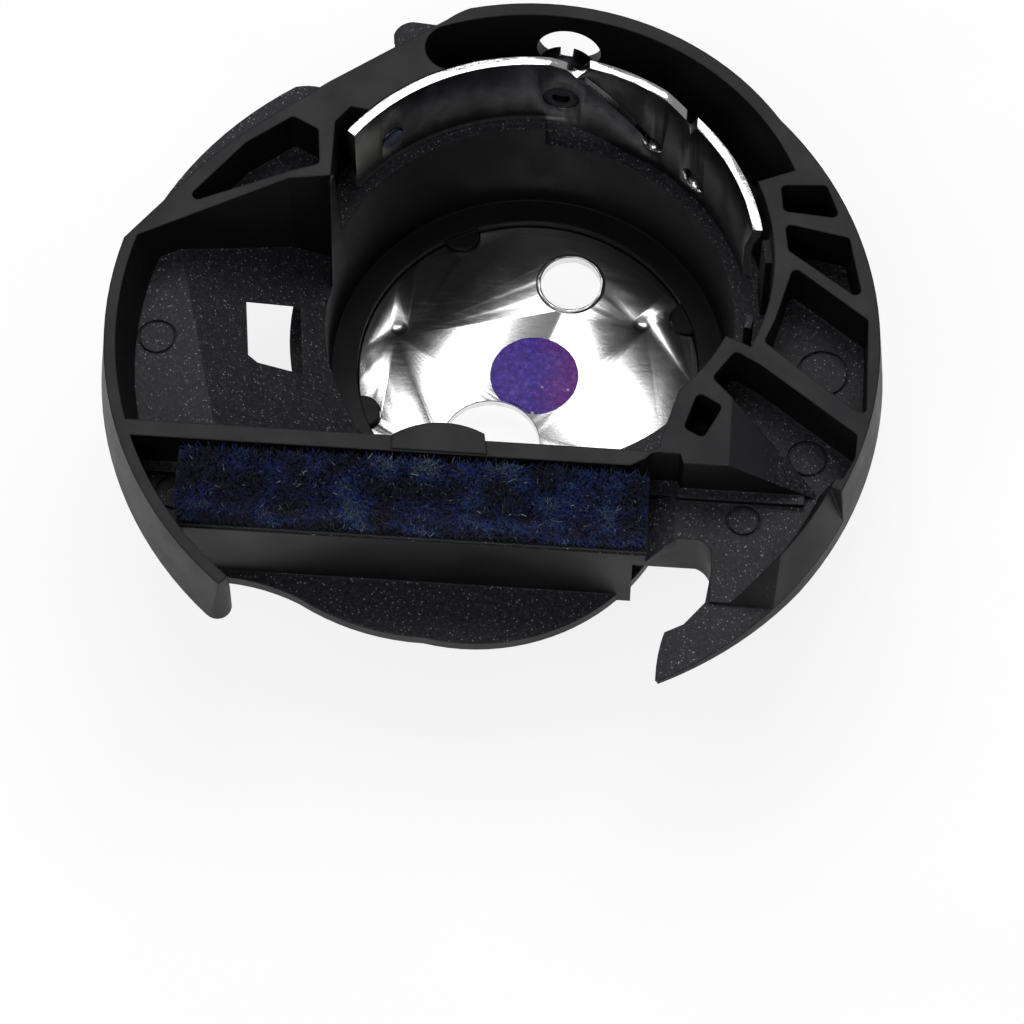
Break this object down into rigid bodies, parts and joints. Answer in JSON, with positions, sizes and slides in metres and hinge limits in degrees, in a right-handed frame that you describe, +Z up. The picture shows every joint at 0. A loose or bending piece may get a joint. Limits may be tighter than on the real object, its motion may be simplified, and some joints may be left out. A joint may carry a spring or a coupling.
{
  "type": "bobbin case",
  "caption": "Drop-in bobbin case: round black moulding with a steel thread guide and tension spring, a steel floor plate, a claw and a dark pile strip.",
  "frame": {"origin": "on the bobbin axis, in the flat underside of the round drum", "axes": "+Z up, out of the bobbin cavity; +Y towards the thread guide and tension screw; -Y towards the pile strip; the claw is at +X -Y"},
  "size_m": [0.0409, 0.0388, 0.0143],
  "materials": {
    "moulded_plastic": "black glass-filled moulding, spark-eroded floors and smoother ribs",
    "polished_steel": "bright polished stainless sheet",
    "spring_steel": "bright rolled spring steel",
    "screw_steel": "turned steel",
    "mark_paint": "glossy violet paint dab",
    "backing": "thin woven carrier",
    "pile": "dense blue-black cut pile"
  },
  "bodies": {
    "case": {"case_body": "moulded_plastic", "floor_plate": "polished_steel", "tension_mark": "mark_paint", "thread_guide": "polished_steel", "locating_pin": "screw_steel", "strip_backing": "backing", "pile_strip": "pile"},
    "tension_screw": {"tension_screw": "screw_steel"},
    "tension_spring": {"tension_spring": "spring_steel"}
  },
  "joints": [
    {"name": "tension_screw_turn", "type": "hinge", "parent": "case", "child": "tension_screw", "pos_m": [0.00102, 0.01286, 0.01087], "axis": [0.0785, 0.9969, 0], "range_deg": [-90, 270]},
    {"name": "tension_spring_flex", "type": "hinge", "parent": "case", "child": "tension_spring", "pos_m": [-0.00849, 0.00911, 0.0111], "axis": [0, 0, 1], "range_deg": [-0.65, 1.9]}
  ],
  "couplings": [
    {"joint": "tension_spring_flex", "follows": "tension_screw_turn", "ratio": 0.006935}
  ]
}
